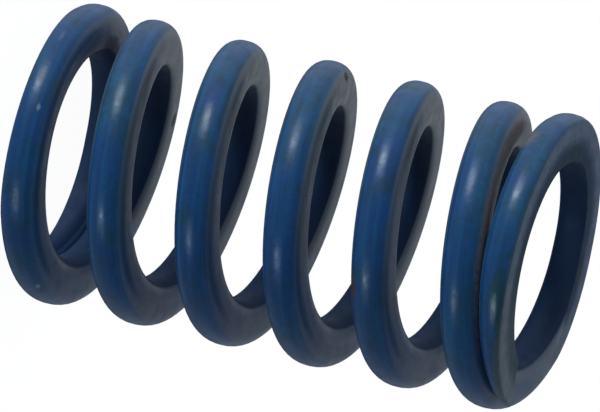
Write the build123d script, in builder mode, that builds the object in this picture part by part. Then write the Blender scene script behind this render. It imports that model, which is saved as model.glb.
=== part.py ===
from build123d import *
from build123d.topology import SkipClean
from math import cos, pi, radians, sin
import os

# Die spring: one wire with a rounded crown, coiled right-handed, with closed and ground ends.
# The axis is +Z. The spring stands on its lower ground face, the origin is that face's centre,
# and the lower wire tip lies on +X.

# Coil
outer_diameter = 25.0
free_length = 44.0  # between the two ground faces
total_turns = 6.92
closed_turns = 0.54  # at each end, wound almost level
opening_turns = 0.40  # after them, over which the slope grows to the full pitch
closed_slope = 0.05  # of the closed turns, as a share of the full pitch
lean_turns = 0.25  # at each tip, over which the wire leans towards or away from the next coil

# Wire
wire_width = 4.0  # across the coil
wire_height = 3.3  # along the spring's axis
inner_chamfer = 0.8
crown_chords = 6  # flats that make up the half round of the outer crown
bore_flat_depth = 0.1  # taken off the wire's inner side where it runs true to the guide rod

# Ends
tip_thickness = 1.2  # of wire that the grinding leaves at each tip
tip_gap = 0.1  # left between each tip and the coil beside it

# How finely the helix is followed
spans_per_turn = 2
points_per_span = 6

coil_radius = (outer_diameter - wire_width) / 2
bore_radius = outer_diameter / 2 - wire_width + bore_flat_depth
tip_height = tip_thickness - wire_height / 2  # of the wire's centre line over the ground face


def pitches_climbed(turns):
    """Height gained over this many turns from a tip, in pitches, without the tip's lean."""
    opened = min(max((turns - closed_turns) / opening_turns, 0), 1)
    open_turns = max(turns - closed_turns - opening_turns, 0)
    gained = opening_turns * (opened**3 - opened**4 / 2) + open_turns
    return closed_slope * turns + (1 - closed_slope) * gained


# Each tip lies tip_gap from the coil beside it, and the pitch shares out the rest of the length.
half_climb = free_length / 2 - tip_height - wire_height - tip_gap
pitch = half_climb / (pitches_climbed(total_turns / 2) - pitches_climbed(1))
tip_lean = wire_height + tip_gap - pitch * pitches_climbed(1)


def centre_height(turns):
    """Height of the wire's centre line over the lower ground face. The upper half mirrors the lower."""
    if turns > total_turns / 2:
        return free_length - centre_height(total_turns - turns)
    still_leaning = max(1 - turns / lean_turns, 0)
    return tip_height + pitch * pitches_climbed(turns) + tip_lean * (1 - still_leaning**2)


def coil_point(turns):
    """Point of the wire's centre line."""
    angle = 2 * pi * turns
    return Vector(coil_radius * cos(angle), coil_radius * sin(angle), centre_height(turns))


def coil_direction(turns, step=1e-6):
    """Direction of the wire's centre line, towards the upper tip."""
    angle = 2 * pi * turns
    start, end = max(turns - step, 0), min(turns + step, total_turns)
    climb = (centre_height(end) - centre_height(start)) / (end - start)
    return Vector(-sin(angle), cos(angle), climb / (2 * pi * coil_radius)).normalized()


def coil_span(start, end):
    """Smooth curve along the centre line between two turn counts."""
    step = (end - start) / points_per_span
    points = [coil_point(start + step * number) for number in range(points_per_span + 1)]
    directions = [coil_direction(start), coil_direction(end)]
    Spline(*points, tangents=directions, tangent_scalars=[1, 1])


def section_corners():
    """Corners of the wire's section: a half round crown outside, two flat flanks, chamfers inside."""
    crown_radius = wire_height / 2
    crown_centre = wire_width / 2 - crown_radius
    inside = -wire_width / 2
    crown = []
    for number in range(crown_chords + 1):
        angle = radians(180 * number / crown_chords - 90)
        crown.append((crown_centre + crown_radius * cos(angle), crown_radius * sin(angle)))
    return crown + [
        (inside + inner_chamfer, crown_radius),
        (inside, crown_radius - inner_chamfer),
        (inside, inner_chamfer - crown_radius),
        (inside + inner_chamfer, -crown_radius),
    ]


span_count = max(round(total_turns * spans_per_turn), 1)
span_ends = [total_turns * number / span_count for number in range(span_count + 1)]
with SkipClean(), BuildLine() as centre_line:
    for start, end in zip(span_ends, span_ends[1:]):
        coil_span(start, end)

# A far wider helix with as many turns keeps the section's width square to the axis all the way.
far_helix = Helix(free_length / total_turns, free_length, 100 * coil_radius)

with BuildPart() as bore_quarter:
    Cylinder(bore_radius, 2 * free_length, arc_size=90, align=(Align.MIN, Align.MIN, Align.CENTER))

with BuildPart() as die_spring:
    with BuildSketch(Plane(coil_point(0), (1, 0, 0), coil_direction(0))) as wire_section:
        with BuildLine():
            Polyline(*section_corners(), close=True)
        make_face()
    sweep(path=centre_line.wire(), binormal=far_helix, clean=False)
    split(bisect_by=Plane.XY, keep=Keep.TOP)
    split(bisect_by=Plane.XY.offset(free_length), keep=Keep.BOTTOM)
    with SkipClean(), PolarLocations(0, 4):
        add(bore_quarter.part, mode=Mode.SUBTRACT)

die_spring.part.label = "die_spring"
os.makedirs("parts", exist_ok=True)
export_step(die_spring.part, "parts/die_spring.step")
print(f"pitch {pitch:.2f}, bore {2 * bore_radius:.2f}, gap between coils {pitch - wire_height:.2f} mm")
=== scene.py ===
from functools import partial
from math import cos, pi, sin

import bpy
from mathutils import Matrix, Vector


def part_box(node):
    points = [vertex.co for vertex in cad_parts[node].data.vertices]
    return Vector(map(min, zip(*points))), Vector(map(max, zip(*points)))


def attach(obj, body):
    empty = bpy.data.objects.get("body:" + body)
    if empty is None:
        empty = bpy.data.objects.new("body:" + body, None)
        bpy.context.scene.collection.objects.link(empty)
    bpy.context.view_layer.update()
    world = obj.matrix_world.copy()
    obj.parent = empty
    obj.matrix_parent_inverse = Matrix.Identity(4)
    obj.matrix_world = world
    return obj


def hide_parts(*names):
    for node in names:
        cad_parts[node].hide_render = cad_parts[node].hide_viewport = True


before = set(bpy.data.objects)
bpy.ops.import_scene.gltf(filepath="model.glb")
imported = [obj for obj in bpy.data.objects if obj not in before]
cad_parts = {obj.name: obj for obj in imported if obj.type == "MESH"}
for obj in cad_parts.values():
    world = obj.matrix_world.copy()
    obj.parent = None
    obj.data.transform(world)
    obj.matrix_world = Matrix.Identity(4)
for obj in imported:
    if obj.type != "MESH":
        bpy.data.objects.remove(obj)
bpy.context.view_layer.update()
spring_low, spring_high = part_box("die_spring")
scene = bpy.context.scene
MM = 0.001

# Sizes of the spring, in metres and turns
OUTER_DIAMETER = 2 * min(spring_high.x, spring_high.y, -spring_low.x, -spring_low.y)
FREE_LENGTH = spring_high.z - spring_low.z
TOTAL_TURNS = 6.92
CLOSED_TURNS = 0.54  # at each end, wound almost level
OPENING_TURNS = 0.40  # after them, over which the slope grows to the full pitch
CLOSED_SLOPE = 0.05  # of the closed turns, as a share of the full pitch
LEAN_TURNS = 0.25  # at each tip, over which the wire leans towards or away from the next coil
HUMP = 0.32 * MM  # by which the first half turn after the tip stands off the ground face
HUMP_RISE = (0.06, 0.21)  # turns from the tip over which it comes
HUMP_FALL = (0.45, 0.70)  # and goes
WIRE_WIDTH = 4.0 * MM  # across the coil
WIRE_HEIGHT = 3.38 * MM  # along the axis
OUTER_ROUNDNESS = 0.86  # of the wire's two half rounds: 1 is a true half circle, less is fuller
INNER_ROUNDNESS = 0.80
OUTER_EDGE = 0.50 * MM  # radius left on the ground edges by peening and paint
INNER_EDGE = 0.15 * MM
SPREAD = 0.48 * MM  # by which each end turn, sprung open, stands out at its fullest
SPREAD_QUARTER = (0.375, 0.125)  # middle and half width, in turns of the circle, of the quarter where it does
SPREAD_TURNS = (0.65, 0.85)  # from each tip, over which that stops
CUT_SLANT = 0.035  # turns by which the upper end, sheared aslant, runs on at the outside of the coil
CUT_TURNS = 0.10  # from the upper tip, over which it does
GROUND_DEPTH = 0.02 * MM  # taken off the wire before its face counts as ground
MERGE_DISTANCE = 0.001 * MM  # within which points are one
TIP_THICKNESS = 1.2 * MM
TIP_GAP = 0.1 * MM
TIP_HEIGHT = TIP_THICKNESS - WIRE_HEIGHT / 2
COIL_RADIUS = (OUTER_DIAMETER - WIRE_WIDTH) / 2

# Points round a quarter of the wire's section: its half round, its ground edge and half its flank
ROUND_STEPS, EDGE_STEPS, FLANK_STEPS = 19, 5, 2
QUARTER_STEPS = ROUND_STEPS + EDGE_STEPS + FLANK_STEPS
COIL_STEPS = 581  # points along the wire

# Nodes that are used most
MATH = "ShaderNodeMath"
VECTOR = "ShaderNodeVectorMath"
RANGE = "ShaderNodeMapRange"
MIX = "ShaderNodeMix"
NOISE = "ShaderNodeTexNoise"

# Paint, what has settled on it, and painted light and shade
BLUE_PAINT = "#0F559A"
# Teal, from drifts in the paint and from painted tint of the light on one side
TEAL_PAINT_AND_LIGHT_TINT = "#1A6990"
THIN_PAINT = "#0E4265"
THICK_PAINT = "#1F75AC"
GREEN_PAINT = "#164C5A"
DEEP_PAINT = "#0B519C"
# Painted shade inside the coil
INSIDE_SHADE = "#0B2A4E"
# Grey of dust on the flanks, and of painted reflection there
DUST_AND_REFLECTION = "#747F88"
# Painted reflection: paler grey on the upper inner rim
RIM_REFLECTION = "#9AA6B2"
GROUND_PAINT, GROUND_LINES = "#3C5566", "#54707F"
CLEAN_ENDS = ((60, 85), (420, 400))  # millimetres along the wire, between which the dust and painted grey reflection thicken
RUBBED_FROM, RUBBED_TO = 443, 450  # millimetres along the wire, over which the ground face is rubbed paler
DUST_AND_REFLECTION_SIDE = 0.42  # turns round from +X, of the side with the most dust and painted grey reflection on the flanks
BLUEST_LIGHT_SIDE = 0.735  # where the paint is bluest: painted tint of the light on that side
TEAL_LIGHT_SIDE = 0.66  # and where it drifts most to teal, also painted tint of the light on that side

# How many of each pattern there are to a millimetre
DRIFTS, PATCHES, MOTTLES, SPECKLES, RAGGED_EDGES, PEENING = 0.14, 0.33, 0.75, 2.8, 2.6, 1.6
RUNS = (0.10, 1.9, 1.9)  # along the wire, outwards and upwards
GRINDING = (0.35, 3.2, 0.35)  # along X, Y and Z: the wheel's lines run along X
BUMP_HEIGHT = 0.012 * MM
ENAMEL_IOR = 1.5

# Turns from the lower tip, outward and upward on the section, half length, half width (all in millimetres), colour,
# strength, and what it adds to the roughness
MARKS = (
    (6.57, 1.66, -1.11, 1.1, 0.75, "#7C7870", 0.8, 0.3),  # worn patch near the upper end
    (5.54, 0.26, 1.65, 5.0, 0.9, "#84746A", 0.75, 0.2),  # rust and rubbing where the last two coils meet, lightened as painted light and tinted by a painted warm reflection
    (5.70, 0.50, 1.62, 14.0, 0.85, "#A0938E", 0.7, 0.2),
    (6.765, 1.95, 0.20, 2.6, 0.7, "#12484C", 0.7, 0.0),  # green patch of thick paint
    (6.772, 2.00, 0.00, 0.7, 0.2, "#7FB0A8", 0.4, 0.0),  # and a painted highlight on it
    (1.30, -0.10, 1.65, 0.75, 0.55, "#0C1014", 1.0, 0.2),  # dark specks
    (3.50, 1.06, 1.54, 0.65, 0.45, "#0C1014", 1.0, 0.2),
    (4.79, 1.37, -1.38, 1.2, 0.6, "#5A4034", 0.8, 0.3),  # rust speck
    (0.68, 1.89, 0.70, 0.35, 0.16, "#8FA3AC", 0.8, 0.2),  # light scuffs on the first coil
    (0.905, 1.82, 0.87, 0.3, 0.2, "#86A9A4", 0.8, 0.2),
    (0.585, 1.95, 0.10, 0.7, 0.2, "#6F8DA4", 0.4, 0.1),
    (0.46, -0.95, 1.57, 2.2, 0.8, "#3A3128", 0.6, 0.3),  # brown grime where the first two coils meet
)


def linear(hex_colour):
    """sRGB hex to the linear colour that the shaders take."""
    channels = [int(hex_colour[place:place + 2], 16) / 255 for place in (1, 3, 5)]
    return [c / 12.92 if c <= 0.04045 else ((c + 0.055) / 1.055) ** 2.4 for c in channels] + [1.0]


def side(turns):
    """Direction out from the axis, this many turns round from +X."""
    return cos(2 * pi * turns), sin(2 * pi * turns), 0


def add(tree, kind, *inputs, named=None, **settings):
    """Adds a node with its settings, and sets or links its inputs, in order or by name."""
    node = tree.nodes.new(kind)
    for name, value in settings.items():
        setattr(node, name, value)
    sockets = [socket for socket in node.inputs if socket.enabled]
    by_name = {socket.name: socket for socket in reversed(sockets)}
    given = [(by_name[name], value) for name, value in (named or {}).items()]
    for socket, value in [*zip(sockets, inputs), *given]:
        if isinstance(value, bpy.types.Node):
            value = next(output for output in value.outputs if output.enabled)
        if isinstance(value, bpy.types.NodeSocket):
            tree.links.new(value, socket)
        else:
            socket.default_value = value
    return node


def pitches_climbed(turns):
    """Height gained over this many turns from a tip, in pitches, without the tip's lean."""
    opened = min(max((turns - CLOSED_TURNS) / OPENING_TURNS, 0), 1)
    open_turns = max(turns - CLOSED_TURNS - OPENING_TURNS, 0)
    gained = OPENING_TURNS * (opened**3 - opened**4 / 2) + open_turns
    return CLOSED_SLOPE * turns + (1 - CLOSED_SLOPE) * gained


def wound_wire_tree():
    """A wire wound into a coil whose pitch closes at both ends, and ground flat there."""
    half_climb = FREE_LENGTH / 2 - TIP_HEIGHT - WIRE_HEIGHT - TIP_GAP
    pitch = half_climb / (pitches_climbed(TOTAL_TURNS / 2) - pitches_climbed(1))
    sizes = {
        "Coil Radius": COIL_RADIUS,
        "Free Length": FREE_LENGTH,
        "Total Turns": TOTAL_TURNS,
        "Closed Turns": CLOSED_TURNS,
        "Opening Turns": OPENING_TURNS,
        "Closed Slope": CLOSED_SLOPE,
        "Pitch": pitch,
        "Tip Height": TIP_HEIGHT,
        "Tip Lean": WIRE_HEIGHT + TIP_GAP - pitch * pitches_climbed(1),
        "Lean Turns": LEAN_TURNS,
        "Hump": HUMP,
        "Wire Width": WIRE_WIDTH,
        "Wire Height": WIRE_HEIGHT,
        "Outer Roundness": OUTER_ROUNDNESS,
        "Inner Roundness": INNER_ROUNDNESS,
        "Outer Edge": OUTER_EDGE,
        "Inner Edge": INNER_EDGE,
        "Spread": SPREAD,
        "Cut Slant": CUT_SLANT,
    }
    tree = bpy.data.node_groups.new("wound wire", "GeometryNodeTree")
    tree.interface.new_socket("Geometry", in_out="OUTPUT", socket_type="NodeSocketGeometry")
    for name in sizes:
        tree.interface.new_socket(name, in_out="INPUT", socket_type="NodeSocketFloat")
    tree.interface.new_socket("Steps", in_out="INPUT", socket_type="NodeSocketInt")
    tree.interface.new_socket("Finish", in_out="INPUT", socket_type="NodeSocketMaterial")
    given = tree.nodes.new("NodeGroupInput").outputs
    node = partial(add, tree)
    store = "GeometryNodeStoreNamedAttribute"
    read = "GeometryNodeInputNamedAttribute"

    # Turns from the nearer tip, with closer steps over the tip's own rounded edge
    index = node("GeometryNodeInputIndex")
    last = node(MATH, given["Steps"], 1.0, operation="SUBTRACT")
    half_steps = node(MATH, last, 0.5, operation="MULTIPLY")
    from_end = node(MATH, index, node(MATH, last, index, operation="SUBTRACT"), operation="MINIMUM")
    edge_share = node(MATH, from_end, float(EDGE_STEPS), operation="DIVIDE", use_clamp=True)
    edge_angle = node(MATH, edge_share, pi / 2, operation="MULTIPLY")
    coil_length = node(MATH, given["Coil Radius"], 2 * pi, operation="MULTIPLY")
    edge_turns = node(MATH, given["Outer Edge"], coil_length, operation="DIVIDE")
    half_turns = node(MATH, given["Total Turns"], 0.5, operation="MULTIPLY")
    step = node(MATH, node(MATH, half_turns, edge_turns, operation="SUBTRACT"),
                node(MATH, half_steps, float(EDGE_STEPS), operation="SUBTRACT"), operation="DIVIDE")
    past_edge = node(MATH, node(MATH, from_end, float(EDGE_STEPS), operation="SUBTRACT"), 0.0, operation="MAXIMUM")
    over_edge = node(MATH, 1.0, node(MATH, edge_angle, operation="COSINE"), operation="SUBTRACT")
    from_tip = node(MATH, past_edge, step, node(MATH, edge_turns, over_edge, operation="MULTIPLY"),
                    operation="MULTIPLY_ADD")
    in_upper_half = node(MATH, index, half_steps, operation="GREATER_THAN")
    turns = node(MIX, in_upper_half, named={
        "A": from_tip, "B": node(MATH, given["Total Turns"], from_tip, operation="SUBTRACT")})
    inset = node(MATH, given["Outer Edge"],
                 node(MATH, 1.0, node(MATH, edge_angle, operation="SINE"), operation="SUBTRACT"), operation="MULTIPLY")

    # Height of the centre line over the nearer ground face
    past_closed = node(MATH, from_tip, given["Closed Turns"], operation="SUBTRACT")
    opened = node(MATH, past_closed, given["Opening Turns"], operation="DIVIDE", use_clamp=True)
    half_fourth = node(MATH, node(MATH, opened, 4.0, operation="POWER"), 0.5, operation="MULTIPLY")
    opening_climb = node(MATH, node(MATH, opened, 3.0, operation="POWER"), half_fourth, operation="SUBTRACT")
    past_opening = node(MATH, past_closed, given["Opening Turns"], operation="SUBTRACT")
    open_turns = node(MATH, past_opening, 0.0, operation="MAXIMUM")
    gained = node(MATH, given["Opening Turns"], opening_climb, open_turns, operation="MULTIPLY_ADD")
    open_slope = node(MATH, 1.0, given["Closed Slope"], operation="SUBTRACT")
    closed_climb = node(MATH, given["Closed Slope"], from_tip, operation="MULTIPLY")
    climbed = node(MATH, open_slope, gained, closed_climb, operation="MULTIPLY_ADD")
    leaned = node(MATH, from_tip, given["Lean Turns"], operation="DIVIDE", use_clamp=True)
    leaning = node(MATH, node(MATH, 1.0, leaned, operation="SUBTRACT"), 2.0, operation="POWER")
    lean = node(MATH, given["Tip Lean"], node(MATH, 1.0, leaning, operation="SUBTRACT"), operation="MULTIPLY")
    tip_rise = node(MATH, given["Tip Height"], lean, operation="ADD")
    hump = node(RANGE, from_tip, *HUMP_RISE, 0.0, 1.0, interpolation_type="SMOOTHSTEP")
    fallen = node(RANGE, from_tip, *HUMP_FALL, 1.0, 0.0, interpolation_type="SMOOTHSTEP")
    hump = node(MATH, hump, fallen, operation="MULTIPLY")
    tip_rise = node(MATH, given["Hump"], hump, tip_rise, operation="MULTIPLY_ADD")
    rise = node(MATH, given["Pitch"], climbed, tip_rise, operation="MULTIPLY_ADD")
    height = node(MIX, in_upper_half, named={
        "A": rise, "B": node(MATH, given["Free Length"], rise, operation="SUBTRACT")})

    # The wound centre line
    angle = node(MATH, turns, 2 * pi, operation="MULTIPLY")
    centre = node("ShaderNodeCombineXYZ",
                  node(MATH, given["Coil Radius"], node(MATH, angle, operation="COSINE"), operation="MULTIPLY"),
                  node(MATH, given["Coil Radius"], node(MATH, angle, operation="SINE"), operation="MULTIPLY"),
                  height)
    line = node("GeometryNodeCurvePrimitiveLine", named={"End": (0, 0, 1)})
    line = node("GeometryNodeResampleCurve", line, named={"Count": given["Steps"]}, mode="COUNT")
    line = node(store, line, named={"Name": "wire_angle", "Value": angle}, data_type="FLOAT")
    line = node(store, line, named={"Name": "wire_height", "Value": height}, data_type="FLOAT")
    line = node(store, line, named={"Name": "wire_inset", "Value": inset}, data_type="FLOAT")
    line = node("GeometryNodeSetPosition", line, named={"Position": centre})
    climb = node("ShaderNodeSeparateXYZ", node("GeometryNodeInputTangent"))
    line = node(store, line, named={"Name": "wire_climb", "Value": climb.outputs["Z"]}, data_type="FLOAT")

    # A closed tube along it, whose points are then laid on the real section
    ring = node("GeometryNodeCurvePrimitiveCircle", mode="RADIUS", named={
        "Resolution": 4 * QUARTER_STEPS, "Radius": MM})
    ring = node(store, ring, named={"Name": "wire_around", "Value": node("GeometryNodeInputIndex")}, data_type="FLOAT")
    tube = node("GeometryNodeCurveToMesh", line, ring, named={"Fill Caps": True})
    angle = node(read, "wire_angle")
    height = node(read, "wire_height")
    inset = node(read, "wire_inset")
    climb = node(read, "wire_climb")
    around = node(read, "wire_around")

    # Which quarter of the section a point is in: upper or lower, outer or inner
    half = 2.0 * QUARTER_STEPS
    upper = node(MATH, around, half, operation="LESS_THAN")
    from_crown = node(MATH, around, node(MATH, 2 * half, around, operation="SUBTRACT"), operation="MINIMUM")
    outer = node(MATH, from_crown, float(QUARTER_STEPS), operation="LESS_THAN")
    place = node(MATH, from_crown, node(MATH, half, from_crown, operation="SUBTRACT"), operation="MINIMUM")
    up_sign = node(MATH, upper, 2.0, -1.0, operation="MULTIPLY_ADD")
    out_sign = node(MATH, outer, 2.0, -1.0, operation="MULTIPLY_ADD")

    # How far each side of the section reaches before its flank or a ground face ends it
    upright = node(MATH, node(MATH, climb, operation="ARCSINE"), operation="COSINE")
    round_radius = node(MATH, given["Wire Height"], 0.5, operation="MULTIPLY")
    to_upper = node(MATH, given["Free Length"], height, operation="SUBTRACT")
    upper_reach = node(MATH, node(MATH, to_upper, upright, operation="DIVIDE"), round_radius, operation="MINIMUM")
    lower_reach = node(MATH, node(MATH, height, upright, operation="DIVIDE"), round_radius, operation="MINIMUM")
    reach = node(MIX, upper, named={"A": lower_reach, "B": upper_reach})
    other_reach = node(MIX, upper, named={"A": upper_reach, "B": lower_reach})

    # Angle at which each side's half round gives way to its rounded edge
    edge_radius = node(MIX, outer, named={"A": given["Inner Edge"], "B": given["Outer Edge"]})
    edge_radius = node(MATH, edge_radius, inset, operation="MAXIMUM")
    roundness = node(MIX, outer, named={"A": given["Inner Roundness"], "B": given["Outer Roundness"]})
    soft_radius = node(MATH, round_radius, edge_radius, operation="SUBTRACT")
    fullness = node(MATH, 1.0, roundness, operation="DIVIDE")
    limits = []
    for reached in (reach, other_reach):
        share = node(MATH, node(MATH, reached, edge_radius, operation="SUBTRACT"), soft_radius, operation="DIVIDE")
        size = node(MATH, node(MATH, share, operation="ABSOLUTE"), fullness, operation="POWER")
        sine = node(MATH, size, node(MATH, share, operation="SIGN"), operation="MULTIPLY")
        limits.append(node(MATH, sine, operation="ARCSINE"))
    limit, other_limit = limits
    middle = node(MATH, node(MATH, limit, other_limit, operation="SUBTRACT"), 0.5, operation="MULTIPLY")

    # Half round, and the rounded edge between it and a ground face
    past_round = node(MATH, place, ROUND_STEPS + 0.5, operation="GREATER_THAN")
    round_share = node(MATH, place, float(ROUND_STEPS), operation="DIVIDE", use_clamp=True)
    edge_share = node(MATH, node(MATH, place, float(ROUND_STEPS), operation="SUBTRACT"), float(EDGE_STEPS),
                      operation="DIVIDE", use_clamp=True)
    round_angle = node(MIX, round_share, named={"A": middle, "B": limit})
    edge_angle = node(MIX, edge_share, named={"A": limit, "B": pi / 2})
    arc_angle = node(MIX, past_round, named={"A": round_angle, "B": edge_angle})
    cosine = node(MATH, node(MATH, arc_angle, operation="COSINE"), roundness, operation="POWER")
    sine = node(MATH, arc_angle, operation="SINE")
    sine_size = node(MATH, node(MATH, sine, operation="ABSOLUTE"), roundness, operation="POWER")
    sine = node(MATH, sine_size, node(MATH, sine, operation="SIGN"), operation="MULTIPLY")
    flank_half = node(MATH, given["Wire Width"], 0.5, operation="MULTIPLY")
    flank_half = node(MATH, flank_half, round_radius, operation="SUBTRACT")
    limit_cosine = node(MATH, node(MATH, limit, operation="COSINE"), roundness, operation="POWER")
    flat_half = node(MATH, soft_radius, limit_cosine, flank_half, operation="MULTIPLY_ADD")
    arc_radius = node(MIX, past_round, named={
        "A": node(MATH, round_radius, inset, operation="SUBTRACT"),
        "B": node(MATH, edge_radius, inset, operation="SUBTRACT")})
    arc_out = node(MIX, past_round, named={"A": flank_half, "B": flat_half})
    arc_up = node(MATH, node(MATH, reach, edge_radius, operation="SUBTRACT"), past_round, operation="MULTIPLY")
    on_arc = node("ShaderNodeCombineXYZ",
                  node(MATH, arc_radius, cosine, arc_out, operation="MULTIPLY_ADD"),
                  node(MATH, arc_radius, sine, arc_up, operation="MULTIPLY_ADD"))

    # Flank or ground face
    flat_share = node(MATH, node(MATH, float(QUARTER_STEPS), place, operation="SUBTRACT"), float(FLANK_STEPS),
                      operation="DIVIDE", use_clamp=True)
    on_flat = node("ShaderNodeCombineXYZ",
                   node(MATH, flat_half, flat_share, operation="MULTIPLY"),
                   node(MATH, reach, inset, operation="SUBTRACT"))

    past_edge = node(MATH, place, ROUND_STEPS + EDGE_STEPS + 0.5, operation="GREATER_THAN")
    quarter = node(MIX, past_edge, on_arc, on_flat, data_type="VECTOR")
    quarter = node("ShaderNodeSeparateXYZ", quarter)
    outward = node(MATH, quarter.outputs["X"], out_sign, operation="MULTIPLY")
    upward = node(MATH, quarter.outputs["Y"], up_sign, operation="MULTIPLY")

    # Onto the coil, with the section square to the wire
    leant = node(MATH, node(MATH, upward, climb, operation="MULTIPLY"), given["Coil Radius"], operation="DIVIDE")
    point_angle = node(MATH, angle, leant, operation="SUBTRACT")
    point_radius = node(MATH, given["Coil Radius"], outward, operation="ADD")

    # The end turns stand out a little over one quarter of the circle
    turns = node(MATH, angle, 2 * pi, operation="DIVIDE")
    to_top_tip = node(MATH, given["Total Turns"], turns, operation="SUBTRACT")
    from_tip = node(MATH, turns, to_top_tip, operation="MINIMUM")
    in_quarter = node(MATH, node(MATH, turns, operation="FRACT"), *SPREAD_QUARTER, operation="COMPARE")
    doubled = node(MATH, node(MATH, angle, 2.0, operation="MULTIPLY"), operation="SINE")
    standing = node(MATH, node(MATH, doubled, operation="ABSOLUTE"), in_quarter, operation="MULTIPLY")
    near_end = node(RANGE, from_tip, *SPREAD_TURNS, 1.0, 0.0)
    standing = node(MATH, standing, near_end, operation="MULTIPLY")
    point_radius = node(MATH, given["Spread"], standing, point_radius, operation="MULTIPLY_ADD")

    # The slanting cut at the upper end: towards the outside of the coil the wire runs on, and leans over further
    near_tip = node(RANGE, to_top_tip, 0.0, CUT_TURNS, 1.0, 0.0)
    near_tip = node(MATH, near_tip, 2.0, operation="POWER")
    share = node(MATH, node(MATH, outward, given["Wire Width"], operation="DIVIDE"), 0.5, operation="ADD")
    run_on = node(MATH, node(MATH, given["Cut Slant"], near_tip, operation="MULTIPLY"), share, operation="MULTIPLY")
    point_angle = node(MATH, run_on, 2 * pi, point_angle, operation="MULTIPLY_ADD")
    lean_slope = node(MATH, given["Tip Lean"], given["Lean Turns"], operation="DIVIDE")
    lean_slope = node(MATH, lean_slope, 2.0, operation="MULTIPLY")
    height = node(MATH, run_on, lean_slope, height, operation="MULTIPLY_ADD")
    point_height = node(MATH, upward, upright, height, operation="MULTIPLY_ADD")
    point = node("ShaderNodeCombineXYZ",
                 node(MATH, point_radius, node(MATH, point_angle, operation="COSINE"), operation="MULTIPLY"),
                 node(MATH, point_radius, node(MATH, point_angle, operation="SINE"), operation="MULTIPLY"),
                 point_height)

    # Nothing stands past the outer diameter or the ground faces
    limit_radius = node(MATH, given["Wire Width"], 0.5, given["Coil Radius"], operation="MULTIPLY_ADD")
    back_limit = node(MATH, limit_radius, -1.0, operation="MULTIPLY")
    lowest = node("ShaderNodeCombineXYZ", back_limit, back_limit, 0.0)
    highest = node("ShaderNodeCombineXYZ", limit_radius, limit_radius, given["Free Length"])
    point = node(VECTOR, point, lowest, operation="MAXIMUM")
    point = node(VECTOR, point, highest, operation="MINIMUM")

    # What the finish follows: the place on the straight wire, and whether the point is on a ground face
    along = node(MATH, angle, given["Coil Radius"], operation="MULTIPLY")
    straight = node("ShaderNodeCombineXYZ", along, outward, upward)
    cut = node(MATH, round_radius, reach, operation="SUBTRACT")
    cut = node(MATH, cut, GROUND_DEPTH, operation="DIVIDE", use_clamp=True)
    ground = node(MATH, cut, past_round, operation="MULTIPLY")
    tube = node(store, tube, named={"Name": "straight_wire", "Value": straight}, data_type="FLOAT_VECTOR")
    tube = node(store, tube, named={"Name": "ground_face", "Value": ground}, data_type="FLOAT")
    tube = node("GeometryNodeSetPosition", tube, named={"Position": point})
    tube = node("GeometryNodeMergeByDistance", tube, named={"Distance": MERGE_DISTANCE})
    tube = node("GeometryNodeFlipFaces", tube)
    tube = node("GeometryNodeSetShadeSmooth", tube, domain="FACE")
    tube = node("GeometryNodeRealizeInstances", tube)
    tube = node("GeometryNodeSetMaterial", tube, named={"Material": given["Finish"]})
    node("NodeGroupOutput", tube)
    return tree, sizes


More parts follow.
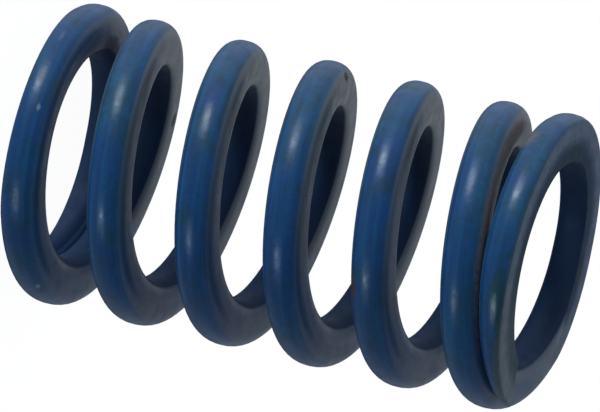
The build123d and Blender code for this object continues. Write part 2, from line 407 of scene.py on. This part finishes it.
def blue_enamel():
    """Blue baked enamel, sprayed thin on shot-peened spring wire.

    It gives the eye a smooth semi-gloss skin with soft highlights over a faint ripple, deeper blue where it ran
    thick and near black where it is thin, blue or teal by drifts and, by side, as painted tint of the light, grey
    dust and painted grey reflection on the flanks and upper inner rim, painted shade inside the coil, one painted
    highlight, and bare rubbed or rusted spots.
    """
    material = bpy.data.materials.new("blue_enamel")
    material.use_nodes = True
    tree = material.node_tree
    tree.nodes.clear()
    node = partial(add, tree)

    # Millimetres along the wire, outwards and upwards on its section, and millimetres in the room
    wire = node("ShaderNodeAttribute", attribute_name="straight_wire", attribute_type="GEOMETRY")
    on_wire = node(VECTOR, wire.outputs["Vector"], named={"Scale": 1 / MM}, operation="SCALE")
    section = node("ShaderNodeSeparateXYZ", on_wire)
    along, outward, upward = section.outputs
    in_room = node("ShaderNodeTexCoord").outputs["Object"]
    in_room = node(VECTOR, in_room, named={"Scale": 1 / MM}, operation="SCALE")

    # Thick and thin paint: drifts of about 7 mm, held as painted light to one side of the spring (in millimetres out
    # from the axis towards it), bluer or more teal by the tint that the lights give that side; patches of 3 mm,
    # mottles of 1 mm, speckles of a third of that, and runs drawn out along the wire
    drifts = node(NOISE, in_room, named={"Scale": DRIFTS, "Detail": 2.0})
    drift_and_light_tint = node(RANGE, drifts, named={"From Min": 0.42, "From Max": 0.58})
    # Painted light: the blue and teal tints that the lights give each side of the coil
    bluest_light_tint = node(VECTOR, in_room, side(BLUEST_LIGHT_SIDE), operation="DOT_PRODUCT").outputs["Value"]
    bluest_light_tint = node(RANGE, bluest_light_tint, named={"From Min": 11.2, "From Max": 12.2, "To Min": 1.0, "To Max": 0.15})
    drift_and_light_tint = node(MATH, drift_and_light_tint, bluest_light_tint, operation="MULTIPLY")
    teal = node(VECTOR, in_room, side(TEAL_LIGHT_SIDE), operation="DOT_PRODUCT").outputs["Value"]
    teal = node(RANGE, teal, named={"From Min": 9.5, "From Max": 12.0, "To Min": 0.35, "To Max": 1.0})
    drift_and_light_tint = node(MATH, drift_and_light_tint, teal, operation="MULTIPLY")
    mottle = node(NOISE, in_room, named={"Scale": MOTTLES, "Detail": 4.0, "Roughness": 0.6})
    drawn_out = node(VECTOR, on_wire, RUNS, operation="MULTIPLY")
    runs = node(NOISE, drawn_out, named={"Scale": 1.0, "Detail": 3.0})
    colour = node(MIX, drift_and_light_tint, linear(BLUE_PAINT), linear(TEAL_PAINT_AND_LIGHT_TINT), data_type="RGBA")
    mottled = node(RANGE, mottle, named={"From Min": 0.42, "From Max": 0.7, "To Max": 0.45})
    colour = node(MIX, mottled, colour, linear(THIN_PAINT), data_type="RGBA")
    patches = node(NOISE, in_room, named={"Scale": PATCHES, "Detail": 3.0, "Roughness": 0.6})
    patch = node(RANGE, patches, named={"From Min": 0.52, "From Max": 0.66, "To Max": 0.6})
    colour = node(MIX, patch, colour, linear(GREEN_PAINT), data_type="RGBA")
    deep = node(RANGE, patches, named={"From Min": 0.46, "From Max": 0.34, "To Max": 0.7})
    colour = node(MIX, deep, colour, linear(DEEP_PAINT), data_type="RGBA")
    speckle = node(NOISE, in_room, named={"Scale": SPECKLES, "Detail": 2.0})
    speckle = node(RANGE, speckle, named={"From Min": 0.35, "From Max": 0.65, "To Min": 0.0, "To Max": 0.35})
    colour = node(MIX, speckle, colour, linear(THIN_PAINT), data_type="RGBA")
    run = node(RANGE, runs, named={"From Min": 0.45, "From Max": 0.75, "To Max": 0.5})
    colour = node(MIX, run, colour, linear(THICK_PAINT), data_type="RGBA")

    # Dust and painted grey reflection on the flanks, painted shade inside the coil, a paler inner rim above that is
    # painted reflection, and ground ends under a thin coat
    inside = node(RANGE, outward, named={"From Min": 0.4, "From Max": -0.8})
    steepness = node(MATH, inside, -0.10, node(MATH, upward, operation="ABSOLUTE"), operation="MULTIPLY_ADD")
    flank = node(RANGE, steepness, named={"From Min": 1.24, "From Max": 1.40})
    uneven = node(RANGE, runs, named={"From Min": 0.2, "From Max": 0.7, "To Min": 0.55, "To Max": 1.0})
    dust_and_reflection = node(MATH, flank, uneven, operation="MULTIPLY")
    # Painted reflection as well as dust: the flanks greyer towards one side of the coil
    dust_and_reflection_side = node(VECTOR, in_room, side(DUST_AND_REFLECTION_SIDE), operation="DOT_PRODUCT").outputs["Value"]
    dust_and_reflection_side = node(RANGE, dust_and_reflection_side, named={"From Min": -9.0, "From Max": 5.0, "To Min": 0.3, "To Max": 1.0})
    for first, last in CLEAN_ENDS:
        clean = node(RANGE, along, named={"From Min": first, "From Max": last, "To Min": 0.35, "To Max": 1.0})
        dust_and_reflection_side = node(MATH, dust_and_reflection_side, clean, operation="MULTIPLY")
    dust_and_reflection = node(MATH, dust_and_reflection, dust_and_reflection_side, operation="MULTIPLY")
    colour = node(MIX, dust_and_reflection, colour, linear(DUST_AND_REFLECTION), data_type="RGBA")
    inside = node(MATH, inside, node(MATH, 1.0, flank, operation="SUBTRACT"), operation="MULTIPLY")
    # Painted shade: the inside of the coil darkened
    colour = node(MIX, node(MATH, inside, 0.8, operation="MULTIPLY"), colour, linear(INSIDE_SHADE), data_type="RGBA")
    # Painted reflection on the upper inner rim
    rim_reflection = node(MATH, node(RANGE, outward, named={"From Min": -0.3, "From Max": -0.9}),
               node(RANGE, upward, named={"From Min": 1.32, "From Max": 1.45}), operation="MULTIPLY")
    rim_reflection = node(MATH, node(MATH, rim_reflection, dust_and_reflection_side, operation="MULTIPLY"), 0.7, operation="MULTIPLY")
    colour = node(MIX, rim_reflection, colour, linear(RIM_REFLECTION), data_type="RGBA")
    ground = node("ShaderNodeAttribute", attribute_name="ground_face", attribute_type="GEOMETRY").outputs["Fac"]
    grinding = node(VECTOR, in_room, GRINDING, operation="MULTIPLY")
    lines = node(NOISE, grinding, named={"Scale": 1.0, "Detail": 2.0})
    ground_paint = node(MIX, lines, linear(GROUND_PAINT), linear(GROUND_LINES), data_type="RGBA")
    rubbed = node(RANGE, along, named={"From Min": RUBBED_FROM, "From Max": RUBBED_TO, "To Min": 0.2, "To Max": 0.9})
    colour = node(MIX, node(MATH, ground, rubbed, operation="MULTIPLY"), colour, ground_paint, data_type="RGBA")

    roughness = node(RANGE, mottle, named={"From Min": 0.3, "From Max": 0.7, "To Min": 0.24, "To Max": 0.40})
    roughness = node(MATH, flank, 0.03, roughness, operation="MULTIPLY_ADD")
    roughness = node(MATH, inside, 0.35, roughness, operation="MULTIPLY_ADD")
    roughness = node(MATH, ground, 0.12, roughness, operation="MULTIPLY_ADD")

    # Marks with ragged edges
    ragged = node(NOISE, in_room, named={"Scale": RAGGED_EDGES, "Detail": 4.0, "Roughness": 0.65})
    ragged = node(RANGE, ragged, named={"From Min": 0.3, "From Max": 0.7, "To Min": -0.3, "To Max": 0.3})
    for turns, out, over, half_length, half_width, stain, strength, dullness in MARKS:
        off = node(VECTOR, on_wire, (turns * 2 * pi * COIL_RADIUS / MM, out, over), operation="SUBTRACT")
        off = node(VECTOR, off, (1 / half_length, 1 / half_width, 1 / half_width), operation="MULTIPLY")
        off = node(VECTOR, off, operation="LENGTH").outputs["Value"]
        off = node(MATH, off, ragged, operation="ADD")
        mark = node(RANGE, off, named={"From Min": 1.1, "From Max": 0.6, "To Max": strength})
        colour = node(MIX, mark, colour, linear(stain), data_type="RGBA")
        roughness = node(MATH, mark, dullness, roughness, operation="MULTIPLY_ADD")

    peened = node(NOISE, in_room, named={"Scale": PEENING, "Detail": 2.0})
    height = node(MATH, runs, 0.8, peened, operation="MULTIPLY_ADD")
    ripple = node("ShaderNodeBump", named={"Strength": 1.0, "Distance": BUMP_HEIGHT, "Height": height})
    shader = node("ShaderNodeBsdfPrincipled", colour, named={
        "Roughness": roughness, "IOR": ENAMEL_IOR, "Normal": ripple})
    node("ShaderNodeOutputMaterial", shader)
    return material


def wound_spring(enamel):
    """The spring as one plain mesh, made by the wound wire's nodes."""
    tree, sizes = wound_wire_tree()
    mesh = bpy.data.meshes.new("die_spring_wire")
    maker = bpy.data.objects.new("maker", mesh)
    scene.collection.objects.link(maker)
    nodes = maker.modifiers.new("wound wire", "NODES")
    nodes.node_group = tree
    values = dict(sizes, Steps=COIL_STEPS, Finish=enamel)
    for item in tree.interface.items_tree:
        if item.in_out == "INPUT":
            nodes[item.identifier] = values[item.name]
    evaluated = maker.evaluated_get(bpy.context.evaluated_depsgraph_get())
    finished = bpy.data.meshes.new_from_object(evaluated)
    finished.name = "wound_spring"
    spring = bpy.data.objects.new("wound_spring", finished)
    scene.collection.objects.link(spring)
    bpy.data.objects.remove(maker)
    return spring


spring = wound_spring(blue_enamel())
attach(spring, "root")
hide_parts("die_spring")

# Camera, far off with a long lens
MIDDLE = Vector((0, 0, FREE_LENGTH / 2))
VIEW_HEIGHT, VIEW_ROLL, VIEW_TURN = 0.2787, 1.8017, 0.1825  # radians above the level, about the lens, about the axis
VIEW_DISTANCE = 1119.8 * MM
LENS, SENSOR_WIDTH = 813.93, 36  # millimetres
VIEW_SHIFT = (0.0495 * MM, 0.1734 * MM)  # of the spring's middle from the lens axis: to the left and down
back = Vector((0, -cos(VIEW_HEIGHT), sin(VIEW_HEIGHT)))
right = Vector((1, 0, 0))
up = Vector((0, sin(VIEW_HEIGHT), cos(VIEW_HEIGHT)))
view_right = cos(VIEW_ROLL) * right + sin(VIEW_ROLL) * up
view_up = -sin(VIEW_ROLL) * right + cos(VIEW_ROLL) * up
turn = Matrix.Rotation(-VIEW_TURN, 3, "Z")
back, view_right, view_up = turn @ back, turn @ view_right, turn @ view_up
camera_data = bpy.data.cameras.new("camera")
camera = bpy.data.objects.new("camera", camera_data)
scene.collection.objects.link(camera)
scene.camera = camera
camera_data.sensor_width = SENSOR_WIDTH
camera_data.lens = LENS
place = MIDDLE + back * VIEW_DISTANCE + view_right * VIEW_SHIFT[0] + view_up * VIEW_SHIFT[1]
camera.matrix_world = Matrix.Translation(place) @ Matrix((view_right, view_up, back)).transposed().to_4x4()
camera_data.clip_start, camera_data.clip_end = 0.01, 20


def towards(rightwards, upwards, nearer):
    """Direction in the room, from its share to the view's right, up and towards the camera."""
    return (view_right * rightwards + view_up * upwards + back * nearer).normalized()


# Floor and light
FLOOR_REACH = 4  # metres each way
FLOOR_GREY, FLOOR_GLOW = "#666666", 0.96
ROOM_DIM = (0.08, 0.085, 0.085)  # light from where the room has nothing pale
ROOM_DARKEST = (0.01, 0.01, 0.01)
SEEN_ROOM = "#FAFAFA"


def pale_floor():
    """Matt white card, lit from within to an even white, that neither shades nor tints the spring.

    The spring is seen as if it lay on its side, so its light comes partly from below this floor.
    """
    mesh = bpy.data.meshes.new("floor")
    corners = [(x * FLOOR_REACH, y * FLOOR_REACH, 0) for x, y in ((-1, -1), (1, -1), (1, 1), (-1, 1))]
    mesh.from_pydata(corners, [], [(0, 1, 2, 3)])
    floor = bpy.data.objects.new("floor", mesh)
    scene.collection.objects.link(floor)
    card = bpy.data.materials.new("white_card")
    card.use_nodes = True
    tree = card.node_tree
    tree.nodes.clear()
    shader = add(tree, "ShaderNodeBsdfPrincipled", named={
        "Base Color": linear(FLOOR_GREY), "Roughness": 0.9, "Emission Color": (1, 1, 1, 1),
        "Emission Strength": FLOOR_GLOW})
    add(tree, "ShaderNodeOutputMaterial", shader)
    mesh.materials.append(card)
    floor.visible_diffuse = False
    floor.visible_glossy = False
    floor.visible_shadow = False


def studio_room():
    """A plain room: palest above the view, dim below it, with a dark corner behind on the left."""
    world = bpy.data.worlds.new("studio")
    scene.world = world
    world.use_nodes = True
    tree = world.node_tree
    tree.nodes.clear()
    node = partial(add, tree)
    outwards = node("ShaderNodeTexCoord").outputs["Generated"]
    light = ROOM_DIM
    for direction, sharpness, strength, colour in (
            (towards(0, 1, 0), 2.2, 0.46, "#FFFFFF"),  # pale ceiling
            (towards(0, 0.7, -0.7), 4.0, 0.20, "#FFFFFF"),  # and its far edge
            (towards(0.5, -0.4, -1), 2.5, 0.32, "#EEF6FF"),  # pale wall behind
            (towards(-1, 0.3, 0.3), 4.0, 0.16, "#DCEEFF"),  # window side
            (towards(-0.6, -0.6, -0.5), 5.0, 0.12, "#FFFFFF"),  # table edge below it
            (towards(1, -0.05, 0.1), 12.0, 0.24, "#E6F2FF"),  # reflector on the right
            (towards(-0.3, 0.05, -1), 9.0, -0.36, "#FFFFFF")):  # dark corner behind on the left
        off = node(VECTOR, outwards, direction, operation="DOT_PRODUCT").outputs["Value"]
        falling = node(MATH, node(MATH, off, 1.0, operation="SUBTRACT"), sharpness, operation="MULTIPLY")
        lobe = node(MATH, node(MATH, falling, operation="EXPONENT"), strength, operation="MULTIPLY")
        light = node(VECTOR, lobe, linear(colour)[:3], light, operation="MULTIPLY_ADD")
    light = node(VECTOR, light, ROOM_DARKEST, operation="MAXIMUM")
    room = node("ShaderNodeBackground", light, 1.0)
    seen = node("ShaderNodeBackground", linear(SEEN_ROOM), 1.0)
    shown = node("ShaderNodeMixShader", node("ShaderNodeLightPath").outputs["Is Camera Ray"], room, seen)
    node("ShaderNodeOutputWorld", shown)


def softbox(name, direction, distance, size, power, colour):
    """A round soft light in that direction from the spring, facing it. Metres away, metres across, and watts."""
    light = bpy.data.lights.new(name, "AREA")
    light.shape = "DISK"
    light.size = size
    light.energy = power
    light.color = linear(colour)[:3]
    lamp = bpy.data.objects.new(name, light)
    scene.collection.objects.link(lamp)
    lamp.visible_camera = False
    lamp.location = MIDDLE + direction * distance
    lamp.rotation_mode = "QUATERNION"
    lamp.rotation_quaternion = (-direction).to_track_quat("-Z", "Y")


pale_floor()
studio_room()
softbox("key", towards(-0.25, 0.83, 0.50), 0.6, 0.14, 0.92, "#E2F2FF")
softbox("side", towards(-0.60, -0.52, 0.61), 0.6, 0.025, 0.28, "#DCF2FF")
scene.view_settings.view_transform = "Standard"
